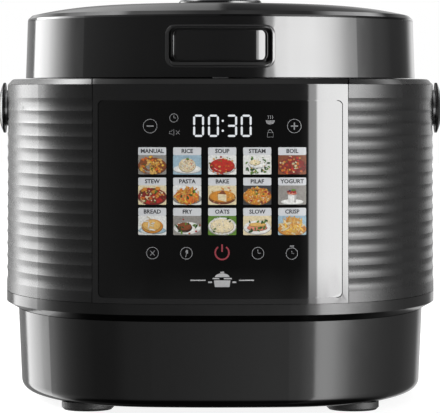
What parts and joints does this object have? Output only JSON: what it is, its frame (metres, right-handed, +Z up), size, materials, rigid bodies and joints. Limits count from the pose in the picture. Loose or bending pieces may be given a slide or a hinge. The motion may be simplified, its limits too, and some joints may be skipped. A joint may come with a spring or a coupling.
{
  "type": "electric pressure multicooker",
  "caption": "Countertop electric cooker with a hinged push-button lid, ribbed oval body, touch panel, removable pot, steam valve and fold-back carry handle.",
  "frame": {"origin": "centre of the bounding box in plan, on the surface that the feet stand on", "axes": "+Z up, -Y towards the front with the control panel, +X to the right seen from the front"},
  "size_m": [0.3022, 0.3416, 0.2695],
  "materials": {
    "body_black": "semi-gloss moulded",
    "lid_black": "gloss moulded",
    "panel_black": "piano gloss",
    "panel_glass": "back-printed black",
    "button_black": "gloss",
    "bezel_black": "satin",
    "handle_black": "semi-gloss",
    "inner_plastic": "matt",
    "foot_rubber": "matt",
    "silicone": "translucent grey",
    "steel": "bright",
    "aluminium": "satin",
    "pot_coating": "dark non-stick coating",
    "element_steel": "heat stained",
    "board_green": "solder mask",
    "component_black": "matt",
    "transformer_yellow": "taped winding",
    "lead_grey": "satin",
    "contact_brass": "plated",
    "valve_black": "semi-gloss",
    "float_steel": "polished",
    "cup_smoke": "smoke tinted"
  },
  "bodies": {
    "root": {"base_shell": "body_black", "feet": "foot_rubber", "base_screws": "steel", "lower_trim_ring": "body_black", "body_shell": "body_black", "front_panel_frame": "panel_black", "control_panel_glass": "panel_glass", "touch_contacts": "component_black", "control_board": "board_green", "display_module": "component_black", "upper_rim_ring": "lid_black", "inner_chamber": "steel", "chamber_brackets": "steel", "heating_plate": "aluminium", "heating_element": "element_steel", "heater_posts": "steel", "thermal_fuse": "component_black", "sensor_guide": "inner_plastic", "sensor_spring": "steel", "inner_pot": "pot_coating", "power_board": "board_green", "relay": "component_black", "transformer": "transformer_yellow", "ribbon_cable": "lead_grey", "mains_leads": "lead_grey", "heater_leads": "lead_grey", "power_inlet": "inner_plastic", "inlet_pins": "contact_brass", "hinge_housing": "body_black", "hinge_pin": "steel", "hinge_spring": "steel", "latch_strike": "steel", "handle_pivots": "steel", "handle_stops": "steel", "cup_rails": "body_black"},
    "lid": {"lid_hinge_bracket": "lid_black", "latch_pin": "steel", "latch_spring": "steel", "lid_shell": "lid_black", "lid_screws": "steel", "lid_top_cover": "lid_black", "lid_inner_frame": "inner_plastic", "lid_sensor": "steel", "inner_lid_plate": "aluminium", "plate_grommet": "inner_plastic", "lid_seal_ring": "silicone", "button_bezel": "bezel_black", "button_springs": "steel", "valve_base": "valve_black", "valve_seal": "silicone"},
    "lid_button": {"lid_button": "button_black"},
    "latch_hook": {"latch_hook": "steel"},
    "steam_valve_cap": {"valve_cap": "valve_black"},
    "steam_valve_float": {"valve_float": "float_steel"},
    "pot_sensor": {"sensor_cap": "aluminium"},
    "condensate_cup": {"condensate_cup": "cup_smoke"},
    "carry_handle": {"carry_handle": "handle_black", "handle_grip": "handle_black", "handle_hub_caps": "handle_black"}
  },
  "joints": [
    {"name": "lid_hinge", "type": "hinge", "parent": "root", "child": "lid", "pos_m": [0, 0.13125, 0.224], "axis": [-1, 0, 0], "range_deg": [0, 95]},
    {"name": "lid_button_press", "type": "slide", "parent": "lid", "child": "lid_button", "axis": [0, 1, 0], "range_m": [0, 0.0025], "stiffness_N_per_m": 400, "springref_m": -0.002, "deforming": ["button_springs"]},
    {"name": "latch_hook_turn", "type": "hinge", "parent": "lid", "child": "latch_hook", "pos_m": [0, -0.14975, 0.226], "axis": [-1, 0, 0], "range_deg": [0, 12]},
    {"name": "steam_valve_cap_lift", "type": "slide", "parent": "lid", "child": "steam_valve_cap", "axis": [0, 0, 1], "range_m": [0, 0.04]},
    {"name": "steam_valve_float_lift", "type": "slide", "parent": "lid", "child": "steam_valve_float", "axis": [0, 0, 1], "range_m": [0, 0.003]},
    {"name": "pot_sensor_press", "type": "slide", "parent": "root", "child": "pot_sensor", "axis": [0, 0, 1], "range_m": [-0.002, 0], "stiffness_N_per_m": 300, "springref_m": 0.003, "deforming": ["sensor_spring"]},
    {"name": "condensate_cup_slide", "type": "slide", "parent": "root", "child": "condensate_cup", "axis": [0, 1, 0], "range_m": [0, 0.06]},
    {"name": "carry_handle_swing", "type": "hinge", "parent": "root", "child": "carry_handle", "pos_m": [0, -0.02075, 0.195], "axis": [1, 0, 0], "range_deg": [0, 95]}
  ],
  "couplings": [
    {"joint": "latch_hook_turn", "follows": "lid_button_press", "rad_per_m": 71.2}
  ]
}
